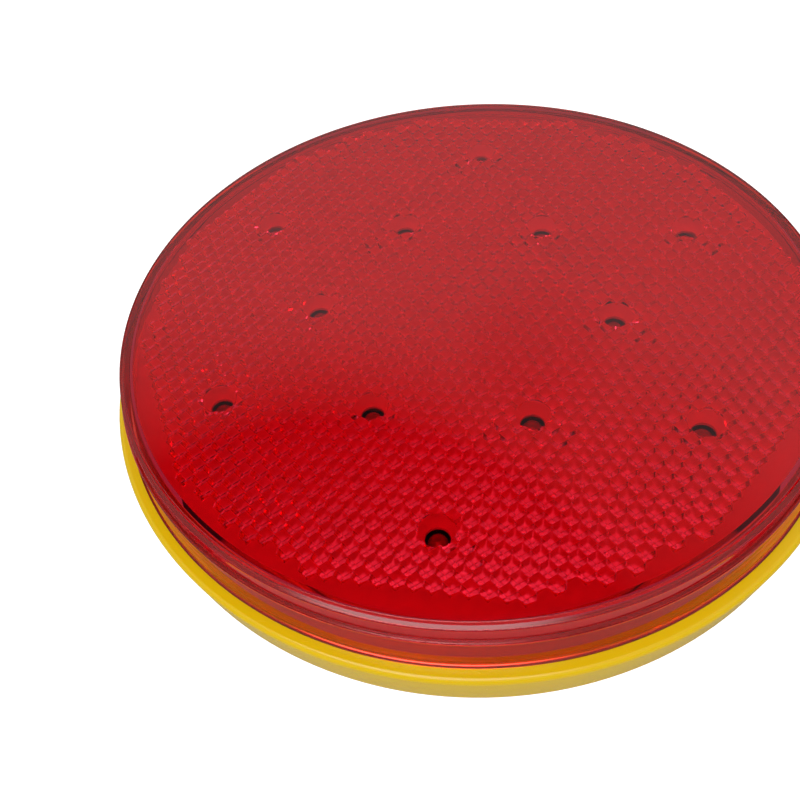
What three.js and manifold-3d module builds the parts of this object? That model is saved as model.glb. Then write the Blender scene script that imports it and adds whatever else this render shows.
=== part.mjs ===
// A round battery-powered LED road flare: a yellow base pan closed by a red prismatic lens,
// with an LED board, a battery bay, a power button and a fold-out wire bail on the underside.
// Millimetres, +Z up, the origin at the middle of the face that the rubber feet stand on.
import * as THREE from "three";
import { mergeVertices } from "three/addons/utils/BufferGeometryUtils.js";
import Module from "manifold-3d";

// ---- driving dimensions ----

const RIM_RADIUS = 95;
const PAN_TAPER = 2.2; // how much narrower the pan is at its underside
const PAN_HEIGHT = 13.8;
const LENS_HEIGHT = 15.5;
const FOOT_PROUD = 1.2;
const WALL = 2.5;
const FIT = 0.3; // gap between pieces that touch
const LED_STAR_RADIUS = 66.5; // the six points of the star
const SCREW_CIRCLE = 80.5;
const FACETS = 60; // round the big turned pieces

const PAN_BOTTOM = FOOT_PROUD;
const FLOOR_TOP = PAN_BOTTOM + WALL;
const RIM_FACE = PAN_BOTTOM + PAN_HEIGHT;
const LENS_TOP = RIM_FACE + LENS_HEIGHT;
const PAN_RADIUS = RIM_RADIUS - PAN_TAPER;

const SKIRT_RADIUS = 91.6; // lens skirt at its foot
const SKIRT_WALL = 2.6;
const LENS_EDGE_RADIUS = 90.35; // lens wall under the top chamfer
const BEAD_RADIUS = 91.35;
const BEAD_FOOT = RIM_FACE + 8.7;
const LENS_THICKNESS = 3;
const LENS_UNDERSIDE = LENS_TOP - LENS_THICKNESS;
const WINDOW_RADIUS = 4.5; // thin round spot of the lens over each LED
const WINDOW_THICKNESS = 1.9;
const SPIGOT_RADIUS = 87.9; // ring of the pan inside the lens skirt
const SPIGOT_WALL = 2.4;
const SPIGOT_TOP = RIM_FACE + 7;

const BOARD_TOP = 14.6;
const BOARD_THICKNESS = 1.6;
const BOARD_BOTTOM = BOARD_TOP - BOARD_THICKNESS;
const BOARD_RADIUS = 75.8;

const CELL_RADIUS = 7.25; // AA
const CELL_LENGTH = 50.5;
const CELL_PITCH = 14.8;
const WELL_HALF_X = 28.75; // inside of the battery well
const WELL_HALF_Y = 22.65;
const WELL_WALL = 1.8;
const WELL_CEILING = 18.7;
const WELL_TOP = WELL_CEILING + WELL_WALL;
const DOOR_THICKNESS = 2.2;
const DOOR_TOP = PAN_BOTTOM + DOOR_THICKNESS;
const DOOR_HALF_X = 31;
const DOOR_HALF_Y = 26;
const DOOR_GAP = 0.4;
const LEDGE = DOOR_TOP + 1.2; // the face that the door's gasket closes on
const CELL_AXIS_Z = DOOR_TOP + 0.5 + CELL_RADIUS;
const HINGE_Y = -29.4;
const HINGE_Z = 3.6;
const HINGE_RADIUS = 2.1;
const PIN_RADIUS = 1;
const TAB_Y = 31; // screw end of the door
const TAB_HALF_X = 7;
const TAB_END_Y = 36;
const TAB_TOP = 6;

const BUTTON_Y = -50;
const BUTTON_RADIUS = 7;

const WIRE_RADIUS = 2; // the bail
const BAIL_HALF_X = 44;
const BAIL_PIVOT_Y = -12;
const BAIL_CROWN_Y = 57;
const BAIL_CORNER = 14;
const BAIL_Z = 4.6;
const BAIL_AXLE_END_X = 51;
const CHANNEL_HALF = 2.7;
const CHANNEL_TOP = 7.1;
const ROOF = 2; // plastic round and over the bail's channel

const FOOT_RADIUS = 7;
const FOOT_ANGLES = [45, 135, 225, 315];
const SCREW_ANGLES = [30, 90, 150, 210, 270, 330];
const POST_ANGLES = [0, 120, 240];
const POST_CIRCLE = 70;

// ---- helpers: three.js geometry in, manifold solid out ----

const wasm = await Module();
wasm.setup();

function solidFrom(geometry) {
  const bare = geometry.index ? geometry.toNonIndexed() : geometry.clone();
  bare.deleteAttribute("normal");
  bare.deleteAttribute("uv");
  const merged = mergeVertices(bare, 1e-4);
  const corners = merged.index.array;
  const kept = [];
  for (let i = 0; i < corners.length; i += 3) {
    const [a, b, c] = corners.slice(i, i + 3);
    if (a !== b && b !== c && a !== c) kept.push(a, b, c);
  }
  return new wasm.Manifold(
    new wasm.Mesh({
      numProp: 3,
      vertProperties: merged.attributes.position.array,
      triVerts: new Uint32Array(kept),
    }),
  );
}

function geometryFrom(solid) {
  const mesh = solid.getMesh();
  const geometry = new THREE.BufferGeometry();
  geometry.setAttribute("position", new THREE.BufferAttribute(mesh.vertProperties, 3));
  geometry.setIndex(new THREE.BufferAttribute(mesh.triVerts, 1));
  geometry.computeVertexNormals();
  return geometry;
}

// A closed outline of [radius, height] points, turned round Z. Either winding will do.
function turned(outline, facets = FACETS) {
  const twiceArea = outline.reduce((sum, [r, z], i) => {
    const [nextR, nextZ] = outline[(i + 1) % outline.length];
    return sum + r * nextZ - nextR * z;
  }, 0);
  const ordered = twiceArea > 0 ? outline : [...outline].reverse();
  const points = [...ordered, ordered[0]].map(([r, z]) => new THREE.Vector2(r, z));
  return solidFrom(new THREE.LatheGeometry(points, facets).rotateX(Math.PI / 2));
}

function box([x0, x1], [y0, y1], [z0, z1]) {
  const geometry = new THREE.BoxGeometry(x1 - x0, y1 - y0, z1 - z0);
  return solidFrom(geometry.translate((x0 + x1) / 2, (y0 + y1) / 2, (z0 + z1) / 2));
}

function post([x, y], radius, [z0, z1], sides = 16) {
  const geometry = new THREE.CylinderGeometry(radius, radius, z1 - z0, sides);
  return solidFrom(geometry.rotateX(Math.PI / 2).translate(x, y, (z0 + z1) / 2));
}

function rodAlongX(radius, [x0, x1], y, z, sides = 16) {
  const geometry = new THREE.CylinderGeometry(radius, radius, x1 - x0, sides);
  return solidFrom(geometry.rotateZ(Math.PI / 2).translate((x0 + x1) / 2, y, z));
}

// A wire of round section along a curve.
function wire(curve, radius, sides, steps) {
  const section = [];
  for (let i = 0; i < sides; i++) {
    const angle = (2 * Math.PI * i) / sides;
    section.push(new THREE.Vector2(radius * Math.cos(angle), radius * Math.sin(angle)));
  }
  const options = { steps, extrudePath: curve, bevelEnabled: false };
  return solidFrom(new THREE.ExtrudeGeometry(new THREE.Shape(section), options));
}

function joined(solids) {
  return solids.reduce((whole, next) => whole.add(next));
}

function cutAway(solid, cuts) {
  return cuts.reduce((rest, cut) => rest.subtract(cut), solid);
}

function onCircle(radius, degrees) {
  const angle = THREE.MathUtils.degToRad(degrees);
  return [radius * Math.cos(angle), radius * Math.sin(angle)];
}

// A quarter round of an outline, from one angle to another, in [radius, height] points.
function roundedEdge([r, z], radius, fromDegrees, toDegrees, steps = 3) {
  const points = [];
  for (let i = 0; i <= steps; i++) {
    const [dr, dz] = onCircle(radius, fromDegrees + ((toDegrees - fromDegrees) * i) / steps);
    points.push([r + dr, z + dz]);
  }
  return points;
}

function pair(halfWidth) {
  return [-halfWidth, halfWidth];
}

const flare = new THREE.Group();

function addPiece(name, solid, color, roughness, metalness = 0, place = null) {
  const material = new THREE.MeshStandardMaterial({ color, roughness, metalness });
  const mesh = new THREE.Mesh(geometryFrom(solid), material);
  mesh.name = name;
  if (place) {
    mesh.position.set(...place.at);
    mesh.rotation.z = THREE.MathUtils.degToRad(place.turn ?? 0);
  }
  flare.add(mesh);
}

// The star: six outer points, and six inner ones where its two triangles cross.
const ledPlaces = [];
for (let k = 0; k < 6; k++) {
  ledPlaces.push(onCircle(LED_STAR_RADIUS, 90 - 60 * k));
  ledPlaces.push(onCircle(LED_STAR_RADIUS / Math.sqrt(3), 60 - 60 * k));
}

// ---- base pan: one moulding with the battery well, bosses and the bail's channel ----

// The bail's path seen from below, widened by grow on each side.
function bailStrip(grow, [z0, z1]) {
  const outerX = BAIL_HALF_X + grow;
  const outerY = BAIL_CROWN_Y + grow;
  const outerCorner = BAIL_CORNER + grow;
  const innerX = BAIL_HALF_X - grow;
  const innerY = BAIL_CROWN_Y - grow;
  const innerCorner = BAIL_CORNER - grow;
  const endY = BAIL_PIVOT_Y - grow - 0.7;
  const strip = new THREE.Shape();
  strip.moveTo(outerX, endY);
  strip.lineTo(outerX, outerY - outerCorner);
  strip.absarc(outerX - outerCorner, outerY - outerCorner, outerCorner, 0, Math.PI / 2);
  strip.lineTo(outerCorner - outerX, outerY);
  strip.absarc(outerCorner - outerX, outerY - outerCorner, outerCorner, Math.PI / 2, Math.PI);
  strip.lineTo(-outerX, endY);
  strip.lineTo(-innerX, endY);
  strip.lineTo(-innerX, innerY - innerCorner);
  strip.absarc(innerCorner - innerX, innerY - innerCorner, innerCorner, Math.PI, Math.PI / 2, true);
  strip.lineTo(innerX - innerCorner, innerY);
  strip.absarc(innerX - innerCorner, innerY - innerCorner, innerCorner, Math.PI / 2, 0, true);
  strip.lineTo(innerX, endY);
  const options = { depth: z1 - z0, bevelEnabled: false, curveSegments: 7 };
  return solidFrom(new THREE.ExtrudeGeometry(strip, options).translate(0, 0, z0));
}

// The pockets at the bail's two pivots, each holding a clip, and the finger notch at its crown.
function bailPockets(grow, [z0, z1]) {
  const pocketY = [BAIL_PIVOT_Y - 3.9 - grow, BAIL_PIVOT_Y + 3.9 + grow];
  const notchY = [BAIL_CROWN_Y, BAIL_CROWN_Y + 10.4 + grow];
  return joined([
    box([BAIL_HALF_X, BAIL_AXLE_END_X + 1.5 + grow], pocketY, [z0, z1]),
    box([-BAIL_AXLE_END_X - 1.5 - grow, -BAIL_HALF_X], pocketY, [z0, z1]),
    box(pair(11 + grow), notchY, [z0, z1]),
  ]);
}

function basePan() {
  const shell = turned([
    [0, PAN_BOTTOM],
    ...roundedEdge([PAN_RADIUS - 1, PAN_BOTTOM + 1], 1, -90, 0),
    ...roundedEdge([RIM_RADIUS - 1.3, RIM_FACE - 1.3], 1.3, 0, 90, 4),
    [SKIRT_RADIUS + 0.1, RIM_FACE],
    [SKIRT_RADIUS + 0.1, RIM_FACE - 1.4],
    [SKIRT_RADIUS - 2.7, RIM_FACE - 1.4],
    [SKIRT_RADIUS - 2.7, RIM_FACE],
    [SPIGOT_RADIUS, RIM_FACE],
    [SPIGOT_RADIUS, SPIGOT_TOP - 0.5],
    [SPIGOT_RADIUS - 0.5, SPIGOT_TOP],
    [SPIGOT_RADIUS - SPIGOT_WALL, SPIGOT_TOP],
    [SPIGOT_RADIUS - SPIGOT_WALL, RIM_FACE - WALL],
    [RIM_RADIUS - WALL - 0.4, RIM_FACE - WALL],
    [PAN_RADIUS - WALL + 0.3, FLOOR_TOP],
    [0, FLOOR_TOP],
  ]);
  const ledgeTop = LEDGE + 1.8;
  const blockTop = CHANNEL_TOP + ROOF;
  const added = [
    bailStrip(CHANNEL_HALF + ROOF, [PAN_BOTTOM + 1, blockTop]),
    bailPockets(ROOF, [PAN_BOTTOM + 1, blockTop]),
    box(pair(DOOR_HALF_X + 5), [HINGE_Y - 5.8, DOOR_HALF_Y + 2.6], [PAN_BOTTOM + 1, ledgeTop]),
    box(pair(DOOR_HALF_X + 5), [HINGE_Y - 5.8, -DOOR_HALF_Y], [PAN_BOTTOM + 1, 8.4]),
    box(pair(TAB_HALF_X + 2.6), [WELL_HALF_Y, TAB_END_Y + 2.6], [PAN_BOTTOM + 1, 8.4]),
    box(pair(WELL_HALF_X + WELL_WALL), pair(WELL_HALF_Y + WELL_WALL), [FLOOR_TOP, WELL_TOP]),
    post([0, TAB_Y], 4.5, [FLOOR_TOP, 12.6]),
    post([0, BUTTON_Y], BUTTON_RADIUS + 4, [PAN_BOTTOM + 1, FLOOR_TOP + 0.01], 24),
    ...SCREW_ANGLES.map((a) => post(onCircle(SCREW_CIRCLE, a), 4, [PAN_BOTTOM + 1, 17.8])),
    ...POST_ANGLES.map((a) => post(onCircle(POST_CIRCLE, a), 3.5, [PAN_BOTTOM + 1, BOARD_BOTTOM - 0.1])),
  ];
  const below = PAN_BOTTOM - 1;
  const contactSlots = [-1, 1].map((side) =>
    box(
      [side * 28.3 - 0.8, side * 28.3 + 0.8],
      [side * CELL_PITCH - 2.2, side * CELL_PITCH + 2.2],
      [WELL_CEILING - 1, WELL_TOP + 1],
    ),
  );
  const cuts = [
    bailStrip(CHANNEL_HALF, [below, CHANNEL_TOP]),
    bailPockets(0, [below, CHANNEL_TOP]),
    box(pair(WELL_HALF_X), pair(WELL_HALF_Y), [below, WELL_CEILING]),
    box(pair(DOOR_HALF_X + DOOR_GAP), [HINGE_Y - 3.5, DOOR_HALF_Y + DOOR_GAP], [below, LEDGE]),
    box(pair(DOOR_HALF_X + DOOR_GAP), [HINGE_Y - 3.5, -DOOR_HALF_Y], [below, 6.4]),
    box(pair(TAB_HALF_X + DOOR_GAP), [DOOR_HALF_Y - 0.5, TAB_END_Y + DOOR_GAP], [below, TAB_TOP + 0.4]),
    rodAlongX(PIN_RADIUS + 0.3, pair(DOOR_HALF_X + 2.8), HINGE_Y, HINGE_Z, 12),
    post([0, TAB_Y], 2.2, [below, 11.2], 12),
    post([0, BUTTON_Y], BUTTON_RADIUS + FIT, [below, 20], 24),
    ...contactSlots,
    ...SCREW_ANGLES.map((a) => post(onCircle(SCREW_CIRCLE, a), 3.4, [below, 4.6], 12)),
    ...SCREW_ANGLES.map((a) => post(onCircle(SCREW_CIRCLE, a), 1.9, [below, 20], 10)),
    ...POST_ANGLES.map((a) => post(onCircle(POST_CIRCLE, a), 1.35, [4.6, 20], 8)),
    ...FOOT_ANGLES.map((a) => post(onCircle(SCREW_CIRCLE, a), FOOT_RADIUS + FIT, [below, 2.4], 24)),
  ];
  return cutAway(joined([shell, ...added]), cuts);
}

addPiece("base_pan", basePan(), 0xe6bc05, 0.25);

// ---- lens: one red moulding, prisms on its underside are left to the finish ----

function lens() {
  const innerFoot = SKIRT_RADIUS - SKIRT_WALL;
  const cap = turned([
    [innerFoot, RIM_FACE + FIT],
    [SKIRT_RADIUS, RIM_FACE + FIT],
    [SKIRT_RADIUS - 1.1, BEAD_FOOT],
    [BEAD_RADIUS - 0.15, BEAD_FOOT + 0.3],
    [BEAD_RADIUS, BEAD_FOOT + 0.8],
    [BEAD_RADIUS - 0.15, BEAD_FOOT + 1.4],
    [BEAD_RADIUS - 0.8, BEAD_FOOT + 1.8],
    [LENS_EDGE_RADIUS, LENS_TOP - 1.5],
    [LENS_EDGE_RADIUS - 0.3, LENS_TOP - 1.1],
    [LENS_EDGE_RADIUS - 1.4, LENS_TOP - 0.15],
    [LENS_EDGE_RADIUS - 1.9, LENS_TOP],
    [0, LENS_TOP],
    [0, LENS_UNDERSIDE],
    [LENS_EDGE_RADIUS - 3.6, LENS_UNDERSIDE],
    [LENS_EDGE_RADIUS - 2.5, LENS_UNDERSIDE - 1.2],
    [innerFoot - 0.6, SPIGOT_TOP + 0.8],
  ]);
  const bosses = SCREW_ANGLES.map((a) => post(onCircle(SCREW_CIRCLE, a), 3.5, [18.2, LENS_UNDERSIDE + 1]));
  const cuts = [
    ...ledPlaces.map((at) =>
      post(at, WINDOW_RADIUS, [LENS_UNDERSIDE - 1, LENS_TOP - WINDOW_THICKNESS]),
    ),
    ...SCREW_ANGLES.map((a) => post(onCircle(SCREW_CIRCLE, a), 1.8, [17, 26], 10)),
  ];
  return cutAway(joined([cap, ...bosses]), cuts);
}

addPiece("lens", lens(), 0xb4141e, 0.08);

const gasketRing = turned([
  [SKIRT_RADIUS - 2.4, RIM_FACE - 1.2],
  [SKIRT_RADIUS - 0.2, RIM_FACE - 1.2],
  [SKIRT_RADIUS - 0.2, RIM_FACE + 0.1],
  [SKIRT_RADIUS - 2.4, RIM_FACE + 0.1],
]);
addPiece("lens_gasket", gasketRing, 0x202020, 0.8);

// ---- LED board and what is soldered to it ----

const RESISTOR_REACH = 5; // from a resistor's middle to each of its leads
const RESISTOR_CIRCLE = 56;
const LED_LEAD = 1.27;

// A point given along and across a part that sits at `at`, turned by `degrees`.
function offset([x, y], degrees, along) {
  const [dx, dy] = onCircle(along, degrees);
  return [x + dx, y + dy];
}

const resistorPlaces = [0, 60, 120, 180, 240, 300].map((a) => ({
  at: onCircle(RESISTOR_CIRCLE, a),
  turn: a + 90,
}));

function ledBoard() {
  const disc = post([0, 0], BOARD_RADIUS, [BOARD_BOTTOM, BOARD_TOP], FACETS);
  const through = [BOARD_BOTTOM - 1, BOARD_TOP + 1];
  const opening = box(pair(WELL_HALF_X + 2.4), pair(WELL_HALF_Y + 2.4), through);
  const ledHoles = ledPlaces.flatMap((at) =>
    [-LED_LEAD, LED_LEAD].map((along) => post(offset(at, 0, along), 0.6, through, 4)),
  );
  const resistorHoles = resistorPlaces.flatMap(({ at, turn }) =>
    [-RESISTOR_REACH, RESISTOR_REACH].map((along) => post(offset(at, turn, along), 0.7, through, 4)),
  );
  const screwHoles = POST_ANGLES.map((a) => post(onCircle(POST_CIRCLE, a), 1.5, through, 8));
  return cutAway(disc, [opening, ...ledHoles, ...resistorHoles, ...screwHoles]);
}

addPiece("led_board", ledBoard(), 0x1d5a34, 0.5);

// A 5 mm LED standing on its flange, with its two leads through the board.
function led() {
  const body = turned(
    [
      [0, 0.2],
      [2.9, 0.2],
      [2.9, 1.2],
      [2.5, 1.2],
      [2.5, 6.1],
      ...roundedEdge([0, 6.1], 2.5, 30, 65, 1),
      [0, 8.6],
    ],
    10,
  );
  const leads = [-LED_LEAD, LED_LEAD].map((x) => box([x - 0.25, x + 0.25], pair(0.25), [-3, 0.7]));
  return joined([body, ...leads]);
}

ledPlaces.forEach(([x, y], i) => {
  const name = "led_" + String(i + 1).padStart(2, "0");
  addPiece(name, led(), 0x5a1418, 0.1, 0, { at: [x, y, BOARD_TOP] });
});

// The resistors and the flasher's parts hang under the board, out of the light.
function resistor() {
  const axisZ = -1.5;
  const body = rodAlongX(1.15, pair(3.1), 0, axisZ, 7);
  const across = box(pair(RESISTOR_REACH + 0.25), pair(0.25), [axisZ - 0.25, axisZ + 0.25]);
  const legs = [-RESISTOR_REACH, RESISTOR_REACH].map((x) =>
    box([x - 0.25, x + 0.25], pair(0.25), [axisZ, BOARD_THICKNESS + 0.6]),
  );
  return joined([body, across, ...legs]);
}

resistorPlaces.forEach(({ at: [x, y], turn }, i) => {
  addPiece("resistor_" + (i + 1), resistor(), 0xc8a878, 0.5, 0, { at: [x, y, BOARD_BOTTOM], turn });
});

// An eight-legged chip soldered flat to the board.
function flasherChip() {
  const body = box(pair(4.9), pair(3.2), [-3.8, -0.5]);
  const legs = [-3.81, -1.27, 1.27, 3.81].map((x) =>
    box([x - 0.3, x + 0.3], pair(4.3), [-0.9, -0.1]),
  );
  return joined([body, ...legs]);
}

addPiece("flasher_chip", flasherChip(), 0x151515, 0.6, 0, { at: [-10, 46, BOARD_BOTTOM] });

const timingCapacitor = turned(
  [
    [0, -0.3],
    [3.1, -0.3],
    [3.1, -5.2],
    [2.8, -5.6],
    [0, -5.6],
  ],
  16,
);
addPiece("timing_capacitor", timingCapacitor, 0x9aa0a8, 0.4, 0.6, { at: [9, 45, BOARD_BOTTOM] });

// A small transistor: a round body with one flat side, on three legs.
function driveTransistor() {
  const body = cutAway(post([0, 0], 2.4, [-6.2, -1.6], 12), [box([-3, 3], [1.4, 4], [-8, 0])]);
  const legs = [-1.27, 0, 1.27].map((x) => box([x - 0.22, x + 0.22], pair(0.22), [-2, -0.1]));
  return joined([body, ...legs]);
}

addPiece("drive_transistor", driveTransistor(), 0x171717, 0.6, 0, { at: [17, 45, BOARD_BOTTOM] });

const boardScrew = joined([
  post([0, 0], 2.3, [0.2, 1.7], 12),
  post([0, 0], 1.1, [-9.6, 0.5], 8),
]);
POST_ANGLES.forEach((angle, i) => {
  const [x, y] = onCircle(POST_CIRCLE, angle);
  addPiece("board_screw_" + (i + 1), boardScrew, 0xb0b4b8, 0.3, 1, { at: [x, y, BOARD_TOP] });
});

// ---- reflector: a white plate over the board and the battery well, holed for the LEDs ----
// It stands on the board by a skirt, and its rim reaches out over the pan's spigot.

const REFLECTOR_TOP = 23.2;
const REFLECTOR_RADIUS = SPIGOT_RADIUS - 0.4;

function reflectorPlate() {
  const skirt = BOARD_RADIUS - 0.3;
  const plate = turned([
    [0, REFLECTOR_TOP - 0.8],
    [skirt - 1.2, REFLECTOR_TOP - 0.8],
    [skirt - 1.2, BOARD_TOP + FIT],
    [skirt, BOARD_TOP + FIT],
    [skirt, REFLECTOR_TOP - 0.8],
    [REFLECTOR_RADIUS, REFLECTOR_TOP - 0.8],
    [REFLECTOR_RADIUS, REFLECTOR_TOP],
    [0, REFLECTOR_TOP],
  ]);
  const through = [REFLECTOR_TOP - 2, REFLECTOR_TOP + 1];
  return cutAway(plate, [
    ...ledPlaces.map((at) => post(at, 2.9, through, 12)),
    ...SCREW_ANGLES.map((a) => post(onCircle(SCREW_CIRCLE, a), 3.9, through, 16)),
  ]);
}

addPiece("reflector_plate", reflectorPlate(), 0xf0f0ec, 0.5);

// ---- power switch under the board, pressed by a button in the pan's floor ----

const SWITCH_BOTTOM = 9;
const switchBody = cutAway(box(pair(6), [BUTTON_Y - 6, BUTTON_Y + 6], [SWITCH_BOTTOM, BOARD_BOTTOM - 0.2]), [
  post([0, BUTTON_Y], 2.5, [SWITCH_BOTTOM - 1, 11.6], 12),
]);
addPiece("switch_body", switchBody, 0x1c1c1e, 0.5);

const powerButton = turned(
  [
    [0, PAN_BOTTOM + 0.7],
    [BUTTON_RADIUS - 0.7, PAN_BOTTOM + 0.7],
    [BUTTON_RADIUS, PAN_BOTTOM + 1.3],
    [BUTTON_RADIUS, FLOOR_TOP + FIT],
    [BUTTON_RADIUS + 1.4, FLOOR_TOP + FIT],
    [BUTTON_RADIUS + 1.4, FLOOR_TOP + FIT + 1],
    [2.2, FLOOR_TOP + FIT + 1],
    [2.2, SWITCH_BOTTOM + 0.8],
    [0, SWITCH_BOTTOM + 0.8],
  ],
  24,
);
addPiece("power_button", powerButton, 0x222224, 0.7, 0, { at: [0, BUTTON_Y, 0] });

// ---- battery bay: cells, contacts, springs, leads and the hinged door ----

function cell() {
  const can = turned(
    [
      [0, 0],
      [CELL_RADIUS - 0.5, 0],
      [CELL_RADIUS, 0.5],
      [CELL_RADIUS, CELL_LENGTH - 1.6],
      [CELL_RADIUS - 0.6, CELL_LENGTH - 1],
      [2.7, CELL_LENGTH - 1],
      [2.7, CELL_LENGTH],
      [0, CELL_LENGTH],
    ],
    20,
  );
  return can;
}

const CONTACT_FACE = WELL_HALF_X - 0.6; // inner face of the contact plates
const NUB_END = CONTACT_FACE - 0.15; // where each cell's positive end stops

// Cells lie along X, and the middle one points the other way.
[-1, 0, 1].forEach((row, i) => {
  const positiveSide = row === 0 ? 1 : -1;
  const lying = new THREE.Group();
  lying.position.set(positiveSide * (NUB_END - CELL_LENGTH), row * CELL_PITCH, CELL_AXIS_Z);
  lying.rotation.y = (positiveSide * Math.PI) / 2;
  const material = new THREE.MeshStandardMaterial({ color: 0x26303c, roughness: 0.35, metalness: 0.4 });
  const mesh = new THREE.Mesh(geometryFrom(cell()), material);
  mesh.name = "battery_cell_" + (i + 1);
  lying.add(mesh);
  flare.add(lying);
});

// A plate against an end wall of the well, and its solder tab where a lead leaves.
function contactPlate(side, rows, tabbed) {
  const outer = side * (CONTACT_FACE + 0.5);
  const inner = side * CONTACT_FACE;
  const x = [Math.min(outer, inner), Math.max(outer, inner)];
  const low = Math.min(...rows) * CELL_PITCH - 5;
  const high = Math.max(...rows) * CELL_PITCH + 5;
  const plate = box(x, [low, high], [CELL_AXIS_Z - 5, CELL_AXIS_Z + 5]);
  const middle = (low + high) / 2;
  const tab = box(x, [middle - 1.5, middle + 1.5], [CELL_AXIS_Z + 4, WELL_TOP + 0.9]);
  return tabbed ? joined([plate, tab]) : plate;
}

addPiece("contact_plus_end", contactPlate(-1, [-1], true), 0xc9c4b0, 0.3, 1);
addPiece("contact_link_left", contactPlate(-1, [0, 1], false), 0xc9c4b0, 0.3, 1);
addPiece("contact_link_right", contactPlate(1, [-1, 0], false), 0xc9c4b0, 0.3, 1);
addPiece("contact_minus_end", contactPlate(1, [1], true), 0xc9c4b0, 0.3, 1);

// A conical spring pressed between a contact plate and a cell's flat end.
class ConeHelix extends THREE.Curve {
  constructor(length, wideRadius, narrowRadius, turns) {
    super();
    Object.assign(this, { length, wideRadius, narrowRadius, turns });
  }
  getPoint(t) {
    const radius = THREE.MathUtils.lerp(this.wideRadius, this.narrowRadius, t);
    const angle = 2 * Math.PI * this.turns * t;
    return new THREE.Vector3(this.length * t, radius * Math.cos(angle), radius * Math.sin(angle));
  }
}

const SPRING_WIRE = 0.4;
const springSpace = CONTACT_FACE - (CELL_LENGTH - NUB_END);
const springCurve = new ConeHelix(springSpace - 2 * SPRING_WIRE - 0.4, 4.4, 2.4, 3.5);
const springSolid = wire(springCurve, SPRING_WIRE, 5, 32);
const springPlaces = [
  ["contact_spring_1", 1, -1],
  ["contact_spring_2", -1, 0],
  ["contact_spring_3", 1, 1],
];
for (const [name, side, row] of springPlaces) {
  const x = side * (CONTACT_FACE - SPRING_WIRE - 0.2);
  const turn = side > 0 ? 180 : 0;
  addPiece(name, springSolid, 0xc8ccd0, 0.25, 1, { at: [x, row * CELL_PITCH, CELL_AXIS_Z], turn });
}

// Short leads from the end contacts' tabs over to the board.
function batteryLead(side) {
  const y = side * CELL_PITCH;
  const stops = [
    [WELL_HALF_X + 0.3, y, WELL_TOP + 0.9],
    [WELL_HALF_X + 2.6, y, WELL_TOP + 0.9],
    [WELL_HALF_X + 5.4, y + side * 0.6, WELL_TOP - 1],
    [WELL_HALF_X + 7.2, y + side * 1, BOARD_TOP + 0.8],
  ];
  const curve = new THREE.CatmullRomCurve3(stops.map(([x, py, z]) => new THREE.Vector3(side * x, py, z)));
  return wire(curve, 0.6, 8, 10);
}

addPiece("battery_lead_plus", batteryLead(-1), 0xa01818, 0.5);
addPiece("battery_lead_minus", batteryLead(1), 0x181818, 0.5);

function batteryDoor() {
  const plate = box(pair(DOOR_HALF_X), [HINGE_Y + 1, DOOR_HALF_Y], [PAN_BOTTOM, DOOR_TOP]);
  const barrel = rodAlongX(HINGE_RADIUS, pair(DOOR_HALF_X - 0.2), HINGE_Y, HINGE_Z);
  const arm = box(pair(DOOR_HALF_X - 0.2), [HINGE_Y, HINGE_Y + 2.6], [HINGE_Z - HINGE_RADIUS + 0.2, DOOR_TOP]);
  const tab = box(pair(TAB_HALF_X), [DOOR_HALF_Y - 0.2, TAB_END_Y], [PAN_BOTTOM, TAB_TOP]);
  const ribs = [-12, 12].map((x) => box([x - 0.8, x + 0.8], pair(20), [DOOR_TOP - 0.5, DOOR_TOP + 0.35]));
  const cuts = [
    rodAlongX(PIN_RADIUS + 0.1, pair(DOOR_HALF_X + 1), HINGE_Y, HINGE_Z, 12),
    post([0, TAB_Y], 4.8, [PAN_BOTTOM - 1, PAN_BOTTOM + 2], 16),
    post([0, TAB_Y], 1.8, [PAN_BOTTOM, TAB_TOP + 1], 12),
  ];
  return cutAway(joined([plate, barrel, arm, tab, ...ribs]), cuts);
}

addPiece("battery_door", batteryDoor(), 0xe6bc05, 0.25);

const doorGasket = cutAway(box(pair(30.8), pair(25.2), [DOOR_TOP + 0.1, LEDGE - 0.2]), [
  box(pair(29.1), pair(23.4), [DOOR_TOP - 1, LEDGE + 1]),
]);
addPiece("door_gasket", doorGasket, 0x2a2a2a, 0.9);

addPiece("door_hinge_pin", rodAlongX(PIN_RADIUS, pair(DOOR_HALF_X + 2.4), HINGE_Y, HINGE_Z, 12), 0xb8bcc0, 0.3, 1);

// A captive screw with a coin slot across its head.
const doorScrew = cutAway(
  joined([
    post([0, TAB_Y], 4.4, [PAN_BOTTOM + 0.2, PAN_BOTTOM + 1.8], 20),
    post([0, TAB_Y], 1.5, [PAN_BOTTOM + 1, 10.8], 12),
  ]),
  [box(pair(3.6), [TAB_Y - 0.6, TAB_Y + 0.6], [PAN_BOTTOM - 1, PAN_BOTTOM + 1.1])],
);
addPiece("door_screw", doorScrew, 0xb8bcc0, 0.3, 1);

// ---- hanging bail: one bent wire, held in the pan by two clips ----

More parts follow.
